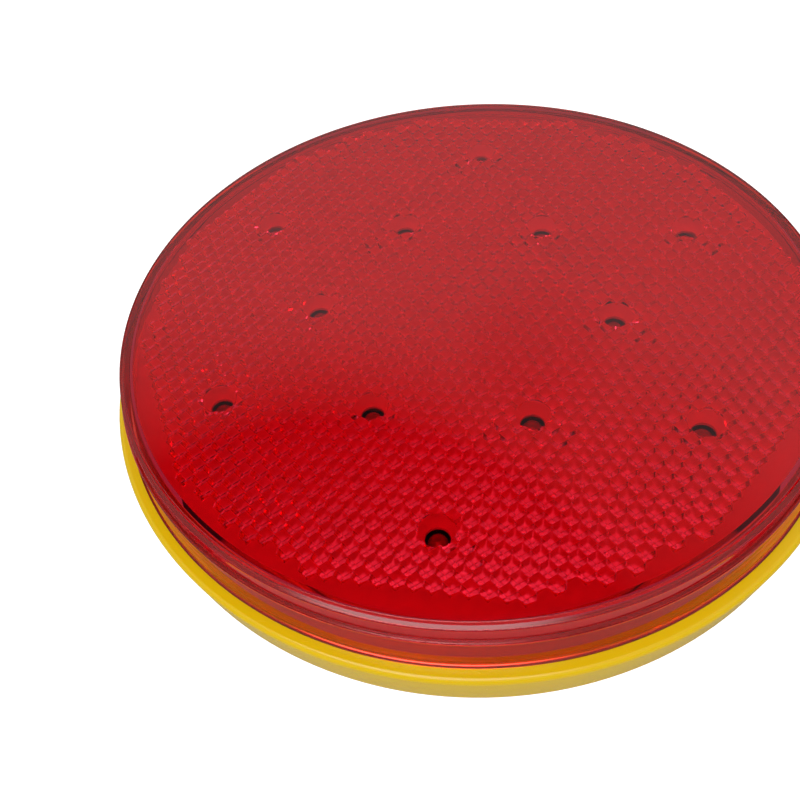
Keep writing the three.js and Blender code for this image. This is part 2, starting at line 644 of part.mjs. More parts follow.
// A bent wire through the given corners, with its rings kept for the bends.
class BentWire extends THREE.Curve {
  constructor(corners, radii, steps) {
    super();
    this.knots = [corners[0]];
    radii.forEach((radius, i) => this.addBend(corners[i], corners[i + 1], corners[i + 2], radius, steps));
    this.knots.push(corners[corners.length - 1]);
  }
  addBend(before, corner, after, radius, steps) {
    const back = before.clone().sub(corner).normalize();
    const ahead = after.clone().sub(corner).normalize();
    const centre = corner.clone().addScaledVector(back, radius).addScaledVector(ahead, radius);
    for (let i = 0; i <= steps; i++) {
      const [away, along] = onCircle(radius, (90 * i) / steps);
      this.knots.push(centre.clone().addScaledVector(ahead, -away).addScaledVector(back, -along));
    }
  }
  getPointAt(u) {
    return this.knots[Math.round(u * (this.knots.length - 1))];
  }
  getTangentAt(u) {
    const last = this.knots.length - 1;
    const i = Math.round(u * last);
    return this.knots[Math.min(i + 1, last)].clone().sub(this.knots[Math.max(i - 1, 0)]).normalize();
  }
}

const bailCorners = [
  [-BAIL_AXLE_END_X, BAIL_PIVOT_Y],
  [-BAIL_HALF_X, BAIL_PIVOT_Y],
  [-BAIL_HALF_X, BAIL_CROWN_Y],
  [BAIL_HALF_X, BAIL_CROWN_Y],
  [BAIL_HALF_X, BAIL_PIVOT_Y],
  [BAIL_AXLE_END_X, BAIL_PIVOT_Y],
].map(([x, y]) => new THREE.Vector3(x, y, BAIL_Z));
const bailPath = new BentWire(bailCorners, [3, BAIL_CORNER, BAIL_CORNER, 3], 5);
addPiece("hanging_bail", wire(bailPath, WIRE_RADIUS, 10, bailPath.knots.length - 1), 0xb8bcc0, 0.3, 1);

// A cap pressed into the pan over each of the bail's pivots.
function bailClip(side) {
  const x = [side * 47.6, side * (BAIL_AXLE_END_X + 1)].sort((a, b) => a - b);
  const y = [BAIL_PIVOT_Y - 3.6, BAIL_PIVOT_Y + 3.6];
  const slotY = [BAIL_PIVOT_Y - WIRE_RADIUS - FIT, BAIL_PIVOT_Y + WIRE_RADIUS + FIT];
  return cutAway(box(x, y, [PAN_BOTTOM + 0.1, CHANNEL_TOP - 0.3]), [
    box([-60, 60], slotY, [BAIL_Z - WIRE_RADIUS - FIT, 10]),
  ]);
}

addPiece("bail_clip_left", bailClip(-1), 0xe6bc05, 0.3);
addPiece("bail_clip_right", bailClip(1), 0xe6bc05, 0.3);

// ---- case screws up through the pan into the lens, and the rubber feet ----

const caseScrew = cutAway(
  joined([
    post([0, 0], 2.9, [2.4, 4.4], 14),
    post([0, 0], 1.5, [4, 25.4], 8),
  ]),
  [box(pair(1.9), pair(0.35), [2, 3.2]), box(pair(0.35), pair(1.9), [2, 3.2])],
);
SCREW_ANGLES.forEach((angle, i) => {
  const [x, y] = onCircle(SCREW_CIRCLE, angle);
  addPiece("case_screw_" + (i + 1), caseScrew, 0xb8bcc0, 0.3, 1, { at: [x, y, 0] });
});

const foot = turned(
  [
    [0, 0],
    [FOOT_RADIUS - 0.6, 0],
    [FOOT_RADIUS, 0.6],
    [FOOT_RADIUS, 2.2],
    [0, 2.2],
  ],
  24,
);
FOOT_ANGLES.forEach((angle, i) => {
  const [x, y] = onCircle(SCREW_CIRCLE, angle);
  addPiece("rubber_foot_" + (i + 1), foot, 0x1a1a1a, 0.9, 0, { at: [x, y, 0] });
});

export default flare;
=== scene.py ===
import math

import bmesh
import bpy
from mathutils import Matrix, Vector


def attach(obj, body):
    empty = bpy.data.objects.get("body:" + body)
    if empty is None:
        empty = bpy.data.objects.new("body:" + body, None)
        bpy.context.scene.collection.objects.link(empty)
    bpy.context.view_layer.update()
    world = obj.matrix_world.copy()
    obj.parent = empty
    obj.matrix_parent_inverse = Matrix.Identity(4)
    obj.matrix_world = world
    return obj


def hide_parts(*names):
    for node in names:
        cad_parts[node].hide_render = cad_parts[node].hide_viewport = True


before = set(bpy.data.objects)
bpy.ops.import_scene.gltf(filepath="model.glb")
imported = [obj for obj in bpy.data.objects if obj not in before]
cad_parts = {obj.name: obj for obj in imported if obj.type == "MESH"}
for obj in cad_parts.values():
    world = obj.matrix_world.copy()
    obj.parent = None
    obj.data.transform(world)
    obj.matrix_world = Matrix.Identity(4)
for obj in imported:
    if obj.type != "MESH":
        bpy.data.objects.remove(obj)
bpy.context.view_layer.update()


# ---- Studio ----
# A large pale table with the flare standing on it, in a softly lit room. The light is broad and
# comes from above and in front, and the room dims towards the horizon and over the flare.

MM = 0.001

eye = Vector((19.0, -176.0, 207.4)) * MM
look = Vector((-0.1989, 0.6150, -0.7631)).normalized()
level = Vector((0.9789, 0.1620, -0.1245))
across = (level - look * level.dot(look)).normalized()
camera_data = bpy.data.cameras.new("studio_camera")
camera_data.lens = 43.16
camera_data.sensor_width = 36
camera_data.shift_x = 0.0775
camera_data.clip_start = 0.01
camera = bpy.data.objects.new("studio_camera", camera_data)
camera.matrix_world = Matrix.Translation(eye) @ Matrix(
    (across, across.cross(look), -look)
).transposed().to_4x4()
bpy.context.scene.collection.objects.link(camera)
bpy.context.scene.camera = camera
bpy.context.scene.view_settings.view_transform = "Standard"

# One triangle, so that no seam runs under the flare.
table_top = bpy.data.meshes.new("table_top")
table_top.from_pydata([(-14, -8, 0), (14, -8, 0), (0, 16, 0)], [], [(0, 1, 2)])
table = bpy.data.objects.new("table_top", table_top)
bpy.context.scene.collection.objects.link(table)


def principled(name):
    """A new material with its Principled shader, and its node tree."""
    material = bpy.data.materials.new(name)
    material.use_nodes = True
    tree = material.node_tree
    return material, tree, tree.nodes["Principled BSDF"]


table_paint, tree, shader = principled("table_paint")
speckle = tree.nodes.new("ShaderNodeTexNoise")
speckle.inputs["Scale"].default_value = 90
tone = tree.nodes.new("ShaderNodeValToRGB")
tone.color_ramp.elements[0].color = (0.30, 0.30, 0.30, 1)
tone.color_ramp.elements[1].color = (0.33, 0.33, 0.33, 1)
tree.links.new(speckle.outputs["Fac"], tone.inputs["Fac"])
tree.links.new(tone.outputs["Color"], shader.inputs["Base Color"])
shader.inputs["Roughness"].default_value = 0.9
shader.inputs["Emission Color"].default_value = (1, 1, 1, 1)

# The table gives off its own light, so that it stays pale and the underside isn't left in the dark:
# most to the camera, less to matt surfaces, and very little into reflections.
seen = tree.nodes.new("ShaderNodeLightPath")
to_eye = tree.nodes.new("ShaderNodeMath")
to_eye.operation = "MULTIPLY_ADD"
to_eye.inputs[1].default_value = 0.95
to_eye.inputs[2].default_value = 0.05
tree.links.new(seen.outputs["Is Camera Ray"], to_eye.inputs[0])
to_object = tree.nodes.new("ShaderNodeMath")
to_object.operation = "MULTIPLY_ADD"
to_object.inputs[1].default_value = 0.55
tree.links.new(seen.outputs["Is Diffuse Ray"], to_object.inputs[0])
tree.links.new(to_eye.outputs["Value"], to_object.inputs[2])
tree.links.new(to_object.outputs["Value"], shader.inputs["Emission Strength"])

# It is clear from below, so that the underside can be looked at.
one_way = tree.nodes.new("ShaderNodeMixShader")
clear = tree.nodes.new("ShaderNodeBsdfTransparent")
side = tree.nodes.new("ShaderNodeNewGeometry")
tree.links.new(side.outputs["Backfacing"], one_way.inputs["Fac"])
tree.links.new(shader.outputs["BSDF"], one_way.inputs[1])
tree.links.new(clear.outputs["BSDF"], one_way.inputs[2])
tree.links.new(one_way.outputs["Shader"], tree.nodes["Material Output"].inputs["Surface"])
table_paint.cycles.emission_sampling = "NONE"
table_top.materials.append(table_paint)

room = bpy.data.worlds.new("room")
room.use_nodes = True
bpy.context.scene.world = room
tree = room.node_tree
background = tree.nodes["Background"]
background.inputs["Color"].default_value = (1, 1, 1, 1)
heading = tree.nodes.new("ShaderNodeTexCoord")


def patch(direction, inner, outer, strength):
    """A soft round patch of the room: full strength within inner degrees, none past outer."""
    dot = tree.nodes.new("ShaderNodeVectorMath")
    dot.operation = "DOT_PRODUCT"
    dot.inputs[1].default_value = Vector(direction).normalized()
    tree.links.new(heading.outputs["Generated"], dot.inputs[0])
    fade = tree.nodes.new("ShaderNodeMapRange")
    fade.interpolation_type = "SMOOTHSTEP"
    fade.inputs["From Min"].default_value = math.cos(math.radians(outer))
    fade.inputs["From Max"].default_value = math.cos(math.radians(inner))
    fade.inputs["To Max"].default_value = strength
    tree.links.new(dot.outputs["Value"], fade.inputs["Value"])
    return fade.outputs["Result"]


# Direction, full and outer half-angle in degrees, and brightness: the even light, two dark patches
# and a faint third over and behind the flare, a glow beside the camera, and the overhead softbox.
brightness = None
for direction, inner, outer, strength in (
    ((0, 0, 1), 179, 180, 0.60),
    ((-0.31, 0.28, 0.908), 11, 28, -0.55),
    ((-0.03, 0.31, 0.950), 11, 29, -0.55),
    ((0.0, 0.6756, 0.7373), 1.5, 5.0, -0.08),
    ((0.07, -0.647, 0.759), 14, 26, 0.25),
    ((-0.10, -0.36, 0.93), 10, 26, 4.0),
):
    part = patch(direction, inner, outer, strength)
    if brightness is None:
        brightness = part
        continue
    plus = tree.nodes.new("ShaderNodeMath")
    tree.links.new(brightness, plus.inputs[0])
    tree.links.new(part, plus.inputs[1])
    brightness = plus.outputs["Value"]

height = tree.nodes.new("ShaderNodeSeparateXYZ")
tree.links.new(heading.outputs["Generated"], height.inputs[0])
above_horizon = tree.nodes.new("ShaderNodeMapRange")
above_horizon.interpolation_type = "SMOOTHSTEP"
above_horizon.inputs["From Min"].default_value = 0.10
above_horizon.inputs["From Max"].default_value = 0.50
above_horizon.inputs["To Min"].default_value = 0.04
tree.links.new(height.outputs["Z"], above_horizon.inputs["Value"])
dimmed = tree.nodes.new("ShaderNodeMath")
dimmed.operation = "MULTIPLY"
tree.links.new(brightness, dimmed.inputs[0])
tree.links.new(above_horizon.outputs["Result"], dimmed.inputs[1])
floor_of_light = tree.nodes.new("ShaderNodeMath")
floor_of_light.operation = "MAXIMUM"
floor_of_light.inputs[1].default_value = 0.01
tree.links.new(dimmed.outputs["Value"], floor_of_light.inputs[0])
seen = tree.nodes.new("ShaderNodeLightPath")
backdrop = tree.nodes.new("ShaderNodeMix")
backdrop.inputs["B"].default_value = 0.92
tree.links.new(seen.outputs["Is Camera Ray"], backdrop.inputs["Factor"])
tree.links.new(floor_of_light.outputs["Value"], backdrop.inputs["A"])
tree.links.new(backdrop.outputs["Result"], background.inputs["Strength"])

# Light turns back several times inside the prisms before it gets out.
light_paths = bpy.context.scene.cycles
light_paths.max_bounces = 24
light_paths.diffuse_bounces = 8
light_paths.glossy_bounces = 14
light_paths.transmission_bounces = 16


# ---- Base pan ----
# One glossy yellow moulding. A thick rim stands round the lens, the side wall draws in towards
# the ground, and the underside carries the battery bay, the button and the bail's channel.

PAN_BOTTOM = 1.2
FLOOR_TOP = 3.7
RIM_FACE = 15.0


def new_piece(name, mesh, body="case"):
    """A mesh put into the scene as a piece that rides on a body."""
    piece = bpy.data.objects.new(name, mesh)
    bpy.context.scene.collection.objects.link(piece)
    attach(piece, body)
    return piece


def turned(name, outline, steps=192):
    """A closed outline of (radius, height) in millimetres turned round Z, as a mesh in metres."""
    area = sum(
        r * next_z - next_r * z
        for (r, z), (next_r, next_z) in zip(outline, outline[1:] + outline[:1])
    )
    if area < 0:
        outline = outline[::-1]
    bm = bmesh.new()
    rings = []
    for r, z in outline:
        if r < 1e-6:
            rings.append([bm.verts.new((0, 0, z * MM))] * steps)
            continue
        turns = [2 * math.pi * i / steps for i in range(steps)]
        places = [(r * MM * math.cos(t), r * MM * math.sin(t), z * MM) for t in turns]
        rings.append([bm.verts.new(place) for place in places])
    for low, high in zip(rings, rings[1:] + rings[:1]):
        if low[0] is low[1] and high[0] is high[1]:
            continue
        for i in range(steps):
            j = (i + 1) % steps
            corners = []
            for v in (low[i], low[j], high[j], high[i]):
                if v not in corners:
                    corners.append(v)
            bm.faces.new(corners)
    mesh = bpy.data.meshes.new(name)
    bm.to_mesh(mesh)
    bm.free()
    return mesh


def arc(centre_r, centre_z, radius, start, end, steps=5):
    """Points of an outline along part of a circle, between two angles in degrees."""
    turns = [math.radians(start + (end - start) * i / steps) for i in range(steps + 1)]
    return [(centre_r + radius * math.cos(t), centre_z + radius * math.sin(t)) for t in turns]


def smoothed(mesh, degrees=32):
    """Smooth shading that breaks at edges sharper than so many degrees."""
    mesh.polygons.foreach_set("use_smooth", [True] * len(mesh.polygons))
    mesh.set_sharp_from_angle(angle=math.radians(degrees))
    return mesh


def wear_group():
    """Fine marks from handling: a mask of thin scuffs and a slow drift of tone."""
    group = bpy.data.node_groups.new("handling_marks", "ShaderNodeTree")
    face = group.interface
    face.new_socket("Scale", in_out="INPUT", socket_type="NodeSocketFloat")
    face.new_socket("Scuffs", in_out="OUTPUT", socket_type="NodeSocketFloat")
    face.new_socket("Drift", in_out="OUTPUT", socket_type="NodeSocketFloat")
    nodes, links = group.nodes, group.links
    entry = nodes.new("NodeGroupInput")
    leave = nodes.new("NodeGroupOutput")
    where = nodes.new("ShaderNodeTexCoord")
    stretch = nodes.new("ShaderNodeMapping")
    stretch.inputs["Scale"].default_value = (1.0, 9.0, 1.0)
    stretch.inputs["Rotation"].default_value = (0.0, 0.0, 0.6)
    links.new(where.outputs["Object"], stretch.inputs["Vector"])
    scratch = nodes.new("ShaderNodeTexNoise")
    scratch.inputs["Detail"].default_value = 6
    scratch.inputs["Roughness"].default_value = 0.7
    links.new(stretch.outputs["Vector"], scratch.inputs["Vector"])
    links.new(entry.outputs["Scale"], scratch.inputs["Scale"])
    thin = nodes.new("ShaderNodeMapRange")
    thin.inputs["From Min"].default_value = 0.62
    thin.inputs["From Max"].default_value = 0.72
    links.new(scratch.outputs["Fac"], thin.inputs["Value"])
    links.new(thin.outputs["Result"], leave.inputs["Scuffs"])
    drift = nodes.new("ShaderNodeTexNoise")
    drift.inputs["Scale"].default_value = 22
    drift.inputs["Detail"].default_value = 2
    links.new(where.outputs["Object"], drift.inputs["Vector"])
    links.new(drift.outputs["Fac"], leave.inputs["Drift"])
    return group


handling_marks = wear_group()


def moulded(name, colour, shade, roughness, scuffed=0.12, grain=0.0, grain_scale=2500):
    """A moulded plastic or rubber: two close tones, scuffs in its gloss and a fine skin grain."""
    material, tree, shader = principled(name)
    marks = tree.nodes.new("ShaderNodeGroup")
    marks.node_tree = handling_marks
    marks.inputs["Scale"].default_value = 160
    tones = tree.nodes.new("ShaderNodeMix")
    tones.data_type = "RGBA"
    tones.inputs[6].default_value = (*colour, 1)
    tones.inputs[7].default_value = (*shade, 1)
    tree.links.new(marks.outputs["Drift"], tones.inputs["Factor"])
    tree.links.new(tones.outputs[2], shader.inputs["Base Color"])
    gloss = tree.nodes.new("ShaderNodeMapRange")
    gloss.inputs["To Min"].default_value = roughness
    gloss.inputs["To Max"].default_value = roughness + scuffed
    tree.links.new(marks.outputs["Scuffs"], gloss.inputs["Value"])
    tree.links.new(gloss.outputs["Result"], shader.inputs["Roughness"])
    skin = tree.nodes.new("ShaderNodeTexNoise")
    skin.inputs["Scale"].default_value = grain_scale
    skin.inputs["Detail"].default_value = 3
    relief = tree.nodes.new("ShaderNodeBump")
    relief.inputs["Strength"].default_value = 0.12 + grain
    relief.inputs["Distance"].default_value = 0.00004
    tree.links.new(skin.outputs["Fac"], relief.inputs["Height"])
    tree.links.new(relief.outputs["Normal"], shader.inputs["Normal"])
    return material, shader


yellow_plastic, shader = moulded("yellow_plastic", (0.89, 0.59, 0.002), (0.85, 0.55, 0.002), 0.2)
shader.inputs["IOR"].default_value = 1.46
shader.inputs["Subsurface Weight"].default_value = 0.15
shader.inputs["Subsurface Radius"].default_value = (0.004, 0.002, 0.0003)
shader.inputs["Subsurface Scale"].default_value = 1.0

pan_outline = (
    [(0, PAN_BOTTOM)]
    + arc(91.8, 2.2, 1.0, -90, -5)
    + arc(93.7, 13.7, 1.3, -8, 90, 8)
    + [(91.9, RIM_FACE), (91.7, 14.8), (91.7, 13.6), (88.9, 13.6), (88.9, 14.8), (88.7, RIM_FACE)]
    + [(87.9, RIM_FACE)]
    + arc(87.4, 21.5, 0.5, 0, 90, 3)
    + arc(85.9, 21.6, 0.4, 90, 180, 3)
    + [(85.5, 12.5), (92.3, 12.5), (90.6, FLOOR_TOP), (0, FLOOR_TOP)]
)

# Where the bail's channel, the door and its hinge, the battery well and the button lie, in
# millimetres in the assembly's frame. ROOF is the plastic left over the channel.
ROOF = 2.0
BLOCK_FOOT = 2.2
BAIL_HALF_X = 44.0
BAIL_CROWN_Y = 57.0
BAIL_PIVOT_Y = -12.0
BAIL_Z = 4.6
CHANNEL_HALF = 2.7
CHANNEL_TOP = 7.1
DOOR_HALF_X = 31.0
DOOR_END_Y = 26.0
DOOR_TOP = 3.4
HINGE_Y = -29.4
HINGE_Z = 3.6
HINGE_ROOM = 6.4
HOUSING_HALF_X = 36.0
HOUSING_START_Y = -35.2
HOUSING_TOP = 8.4
TAB_Y = 31.0
LEDGE = 4.6
WELL_HALF_X = 28.75
WELL_HALF_Y = 22.65
WALL_X = 30.55
WALL_Y = 24.45
WELL_CEILING = 18.7
WELL_TOP = 20.5
CELL_PITCH = 14.8
BUTTON_Y = -50.0
SCREW_CIRCLE = 80.5


def on_circle(radius, degrees):
    """The place at an angle round the flare's axis."""
    return radius * math.cos(math.radians(degrees)), radius * math.sin(math.radians(degrees))


screw_places = [on_circle(SCREW_CIRCLE, 30 + 60 * k) for k in range(6)]
foot_places = [on_circle(SCREW_CIRCLE, 45 + 90 * k) for k in range(4)]


def cylinder(name, place, radius, low, high, sides=48):
    """An upright round bar in millimetres between two heights, as a mesh in metres."""
    bm = bmesh.new()
    bmesh.ops.create_cone(
        bm, cap_ends=True, segments=sides,
        radius1=radius * MM, radius2=radius * MM, depth=(high - low) * MM,
        matrix=Matrix.Translation((place[0] * MM, place[1] * MM, (low + high) / 2 * MM)),
    )
    mesh = bpy.data.meshes.new(name)
    bm.to_mesh(mesh)
    bm.free()
    return mesh


def joined(name, meshes):
    """Several meshes gathered into one."""
    bm = bmesh.new()
    for mesh in meshes:
        bm.from_mesh(mesh)
    whole = bpy.data.meshes.new(name)
    bm.to_mesh(whole)
    bm.free()
    return whole


def carved(mesh, tools, how="DIFFERENCE"):
    """The mesh with the tool meshes cut away from it, or joined to it."""
    work = bpy.data.objects.new("carving", mesh)
    tool = bpy.data.objects.new("carving_tool", joined("carving_tool", tools))
    for o in (work, tool):
        bpy.context.scene.collection.objects.link(o)
    cut = work.modifiers.new("cut", "BOOLEAN")
    cut.operation = how
    cut.solver = "EXACT"
    cut.use_self = len(tools) > 1
    cut.object = tool
    cut_work = work.evaluated_get(bpy.context.evaluated_depsgraph_get())
    result = bpy.data.meshes.new_from_object(cut_work)
    result.name = mesh.name
    for o in (work, tool):
        bpy.data.objects.remove(o)
    return result


def prism(outline, low, high, name="prism", bevel=0.0):
    """A flat outline in millimetres stood up between two heights, its long edges eased."""
    bm = bmesh.new()
    floor = [bm.verts.new((x * MM, y * MM, low * MM)) for x, y in outline]
    roof = [bm.verts.new((x * MM, y * MM, high * MM)) for x, y in outline]
    ends = [bm.faces.new(floor[::-1]), bm.faces.new(roof)]
    for i in range(len(outline)):
        j = (i + 1) % len(outline)
        bm.faces.new((floor[i], floor[j], roof[j], roof[i]))
    bmesh.ops.recalc_face_normals(bm, faces=bm.faces)
    if bevel:
        rims = list({edge for face in ends for edge in face.edges})
        bmesh.ops.bevel(bm, geom=rims, offset=bevel * MM, segments=3, profile=0.5, affect="EDGES")
    mesh = bpy.data.meshes.new(name)
    bm.to_mesh(mesh)
    bm.free()
    return mesh


def rounded_box(xs, ys, corner=0.0, steps=6):
    """The outline of a rectangle with round corners."""
    if not corner:
        return [(xs[0], ys[0]), (xs[1], ys[0]), (xs[1], ys[1]), (xs[0], ys[1])]
    outline = []
    for x, y, start in (
        (xs[1] - corner, ys[0] + corner, -90), (xs[1] - corner, ys[1] - corner, 0),
        (xs[0] + corner, ys[1] - corner, 90), (xs[0] + corner, ys[0] + corner, 180),
    ):
        outline += arc(x, y, corner, start, start + 90, steps)
    return outline


def block(xs, ys, zs, corner=0.0, bevel=0.0, name="block"):
    """A box with round upright corners and eased rims."""
    return prism(rounded_box(xs, ys, corner), zs[0], zs[1], name, bevel)


def bail_strip(grow, low, high, foot=-15.4):
    """The U that the folded bail lies in, widened by so much on each side."""
    outer = [(-BAIL_HALF_X - grow, foot)]
    for side, start in ((-1, 180), (1, 90)):
        outer += arc(side * (BAIL_HALF_X - 14), BAIL_CROWN_Y - 14, 14 + grow, start, start - 90, 12)
    outer += [(BAIL_HALF_X + grow, foot), (BAIL_HALF_X - grow, foot)]
    for side, start in ((1, 0), (-1, 90)):
        outer += arc(side * (BAIL_HALF_X - 14), BAIL_CROWN_Y - 14, 14 - grow, start, start + 90, 12)
    outer += [(-BAIL_HALF_X + grow, foot)]
    return prism(outer, low, high)


def both_sides(make):
    """A feature made on the left and on the right."""
    return [make(-1), make(1)]


def span(side, near, far):
    """The stretch of X between two distances from the middle, on one side."""
    return sorted((side * near, side * far))


def contact_slot(side):
    """The slot in the well's ceiling that lets a contact's tail through."""
    along = side * CELL_PITCH
    return block(span(side, 27.5, 29.1), (along - 2.2, along + 2.2), (WELL_CEILING - 1, WELL_TOP + 1))


block_top = CHANNEL_TOP + ROOF
added = [
    bail_strip(CHANNEL_HALF + ROOF, BLOCK_FOOT, block_top, -17.4),
    *both_sides(lambda side: block(span(side, 42, 54.5), (-17.9, -6.1), (BLOCK_FOOT, block_top), 1.0)),
    block((-13, 13), (55, 69.4), (BLOCK_FOOT, block_top), 2.0),
    block((-HOUSING_HALF_X, HOUSING_HALF_X), (HOUSING_START_Y, 28.6), (BLOCK_FOOT, 6.4), 1.5),
    block((-HOUSING_HALF_X, HOUSING_HALF_X), (HOUSING_START_Y, -26), (BLOCK_FOOT, HOUSING_TOP), 1.5),
    block((-9.6, 9.6), (22, 38.6), (BLOCK_FOOT, HOUSING_TOP), 1.5),
    block((-WALL_X, WALL_X), (-WALL_Y, WALL_Y), (3.5, WELL_TOP), 1.5),
    cylinder("boss", (0, TAB_Y), 4.5, 3.5, 12.6),
    cylinder("boss", (0, BUTTON_Y), 11, BLOCK_FOOT, FLOOR_TOP + 0.01, 96),
    *(cylinder("boss", place, 4, BLOCK_FOOT, 17.8) for place in screw_places),
]
cuts = [
    bail_strip(CHANNEL_HALF, 0, CHANNEL_TOP),
    *both_sides(lambda side: block(span(side, 44, 52.5), (-15.9, -8.1), (0, CHANNEL_TOP), 0.6)),
    block((-11, 11), (57, 67.4), (0, CHANNEL_TOP), 4.0),
    block((-WELL_HALF_X, WELL_HALF_X), (-WELL_HALF_Y, WELL_HALF_Y), (0, WELL_CEILING), 1.0),
    block((-31.4, 31.4), (-32.9, DOOR_END_Y + 0.4), (0, LEDGE), 2.2),
    block((-31.4, 31.4), (-32.9, -26.0), (0, HINGE_ROOM), 0.8),
    block((-7.4, 7.4), (25.5, 36.4), (0, HINGE_ROOM), 1.2),
    cylinder("bore", (0, TAB_Y), 2.2, 0, 11.2),
    cylinder("bore", (0, BUTTON_Y), 7.3, 0, 10, 96),
    *both_sides(contact_slot),
    *(cylinder("counterbore", place, 3.4, 0, 4.6) for place in screw_places),
    *(cylinder("bore", place, 1.9, 0, 19, 24) for place in screw_places),
    *(cylinder("foot_pocket", place, 7.3, 0, 2.4, 96) for place in foot_places),
]
pan_mesh = carved(carved(turned("pan_shell", pan_outline), added, "UNION"), cuts)
pan = new_piece("pan_shell", smoothed(pan_mesh, 28))
pan.data.materials.clear()
pan.data.materials.append(yellow_plastic)
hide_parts("base_pan")


# ---- Power switch and its button ----
# A push switch hangs under the board. A rubber cap in the pan's floor carries the press up to it
# on a short stem, and a flange keeps the cap from falling out.

BUTTON_RADIUS = 7.0


def finish(nodes, material, degrees=32):
    """The CAD piece keeps its shape and takes this material."""
    for node in nodes:
        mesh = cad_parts[node].data
        mesh.materials.clear()
        mesh.materials.append(material)
        smoothed(mesh, degrees)


def metal(name, colour, shade, roughness, brushed=(1.0, 14.0, 1.0)):
    """Bare metal: brushed streaks in its gloss and tone, with a few scuffs."""
    material, tree, shader = principled(name)
    shader.inputs["Metallic"].default_value = 1.0
    where = tree.nodes.new("ShaderNodeTexCoord")
    stretch = tree.nodes.new("ShaderNodeMapping")
    stretch.inputs["Scale"].default_value = brushed
    tree.links.new(where.outputs["Object"], stretch.inputs["Vector"])
    streaks = tree.nodes.new("ShaderNodeTexNoise")
    streaks.inputs["Scale"].default_value = 420
    streaks.inputs["Detail"].default_value = 5
    tree.links.new(stretch.outputs["Vector"], streaks.inputs["Vector"])
    tones = tree.nodes.new("ShaderNodeMix")
    tones.data_type = "RGBA"
    tones.inputs[6].default_value = (*colour, 1)
    tones.inputs[7].default_value = (*shade, 1)
    tree.links.new(streaks.outputs["Fac"], tones.inputs["Factor"])
    tree.links.new(tones.outputs[2], shader.inputs["Base Color"])
    marks = tree.nodes.new("ShaderNodeGroup")
    marks.node_tree = handling_marks
    marks.inputs["Scale"].default_value = 240
    gloss = tree.nodes.new("ShaderNodeMapRange")
    gloss.inputs["To Min"].default_value = roughness
    gloss.inputs["To Max"].default_value = roughness + 0.2
    tree.links.new(marks.outputs["Scuffs"], gloss.inputs["Value"])
    tree.links.new(gloss.outputs["Result"], shader.inputs["Roughness"])
    relief = tree.nodes.new("ShaderNodeBump")
    relief.inputs["Strength"].default_value = 0.2
    relief.inputs["Distance"].default_value = 0.00003
    tree.links.new(streaks.outputs["Fac"], relief.inputs["Height"])
    tree.links.new(relief.outputs["Normal"], shader.inputs["Normal"])
    return material


def fitted(name, mesh, material, node, body="case", degrees=32):
    """A made piece that stands for its CAD node."""
    piece = new_piece(name, smoothed(mesh, degrees), body)
    mesh.materials.clear()
    mesh.materials.append(material)
    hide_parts(node)
    return piece


def moved(mesh, x, y, z=0.0, turn=0.0):
    """The mesh turned round its own axis by so many degrees, then set in its place."""
    turning = Matrix.Rotation(math.radians(turn), 4, "Z")
    mesh.transform(Matrix.Translation((x * MM, y * MM, z * MM)) @ turning)
    return mesh


black_plastic, shader = moulded("black_plastic", (0.018, 0.018, 0.02), (0.03, 0.03, 0.032), 0.42)
finish(["switch_body"], black_plastic)
button_rubber, shader = moulded(
    "button_rubber", (0.022, 0.022, 0.024), (0.04, 0.04, 0.042), 0.62, 0.1, 0.2,
)
button_outline = (
    [(0, 2.3), (3.4, 2.2), (4.4, 1.95)]
    + arc(BUTTON_RADIUS - 0.8, 2.7, 0.8, -90, 0, 6)
    + [(BUTTON_RADIUS, 4.0), (8.4, 4.0), (8.4, 5.0), (2.2, 5.0), (2.2, 9.8), (0, 9.8)]
)
cap = moved(turned("power_button_cap", button_outline, 96), 0, BUTTON_Y)
fitted("power_button_cap", cap, button_rubber, "power_button", "power_button")


# ---- LED board and its parts ----
# A round green laminate on three posts, open round the battery well. Twelve 5 mm LEDs stand on it
# in a six-pointed star; the resistors and the flasher's parts are soldered underneath.

STAR_RADIUS = 66.5
BOARD_TOP = 14.6
star = []
for k in range(6):
    star.append(on_circle(STAR_RADIUS, 90 - 60 * k))
    star.append(on_circle(STAR_RADIUS / math.sqrt(3), 60 - 60 * k))

board_laminate, shader = moulded(
    "board_laminate", (0.045, 0.20, 0.075), (0.03, 0.15, 0.055), 0.35, 0.1, 0.3, 900,
)
finish(["led_board"], board_laminate)

led_epoxy, shader = moulded("led_epoxy", (0.26, 0.09, 0.08), (0.36, 0.14, 0.12), 0.12)
shader.inputs["Coat Weight"].default_value = 0.4
led_outline = [(0, 0.2), (2.9, 0.2), (2.9, 1.2), (2.5, 1.25)] + arc(0, 6.1, 2.5, 0, 90, 10)
for i, (x, y) in enumerate(star):
    leads = [block((dx - 0.25, dx + 0.25), (-0.25, 0.25), (-3, 0.7)) for dx in (-1.27, 1.27)]
    lamp = joined(f"led_{i + 1:02d}_lamp", [turned("lamp", led_outline, 40), *leads])
    fitted(lamp.name, moved(lamp, x, y, BOARD_TOP), led_epoxy, f"led_{i + 1:02d}")

resistor_coating, shader = moulded("resistor_coating", (0.62, 0.47, 0.30), (0.50, 0.36, 0.22), 0.4)
finish([f"resistor_{i}" for i in range(1, 7)], resistor_coating)
finish(["flasher_chip", "drive_transistor"], black_plastic)
capacitor_can = metal("capacitor_can", (0.62, 0.64, 0.68), (0.45, 0.47, 0.52), 0.3)
finish(["timing_capacitor"], capacitor_can)
stainless_steel = metal("stainless_steel", (0.72, 0.72, 0.71), (0.55, 0.55, 0.55), 0.26)
finish([f"board_screw_{i}" for i in range(1, 4)], stainless_steel)


# ---- Reflector plate ----
# A thin white disc over the board and the battery well, holed for the LEDs. It stands on the
# board by a round skirt, and its rim reaches out over the pan's spigot.

